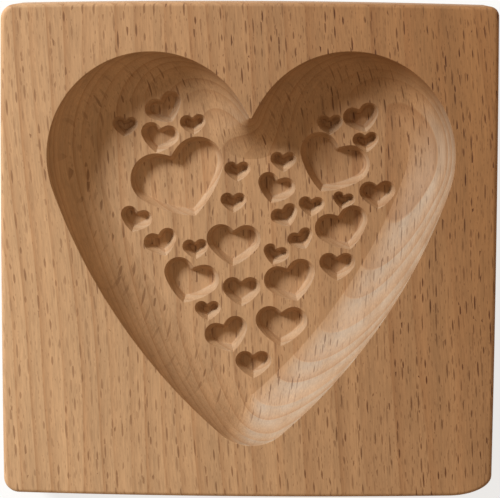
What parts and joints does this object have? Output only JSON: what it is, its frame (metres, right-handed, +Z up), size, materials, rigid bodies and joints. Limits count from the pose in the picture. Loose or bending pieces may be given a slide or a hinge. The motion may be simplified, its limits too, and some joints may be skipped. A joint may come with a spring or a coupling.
{
  "type": "cookie mould",
  "caption": "Square wooden cookie mould: a block with a deep heart hollow, concave walls and a flat floor set with scattered little heart pockets that emboss the dough",
  "frame": {"origin": "Middle of the flat underside that rests on the table, under the middle of the block's outline", "axes": "+Z up, out of the carved face; +Y along the grain, from the tip of the large heart to its cusp; +X to the right when the face is looked at with the cusp at the top"},
  "size_m": [0.1, 0.1004, 0.02],
  "materials": {
    "beech": "satin"
  },
  "bodies": {
    "root": {"mould_block": "beech"}
  },
  "joints": []
}
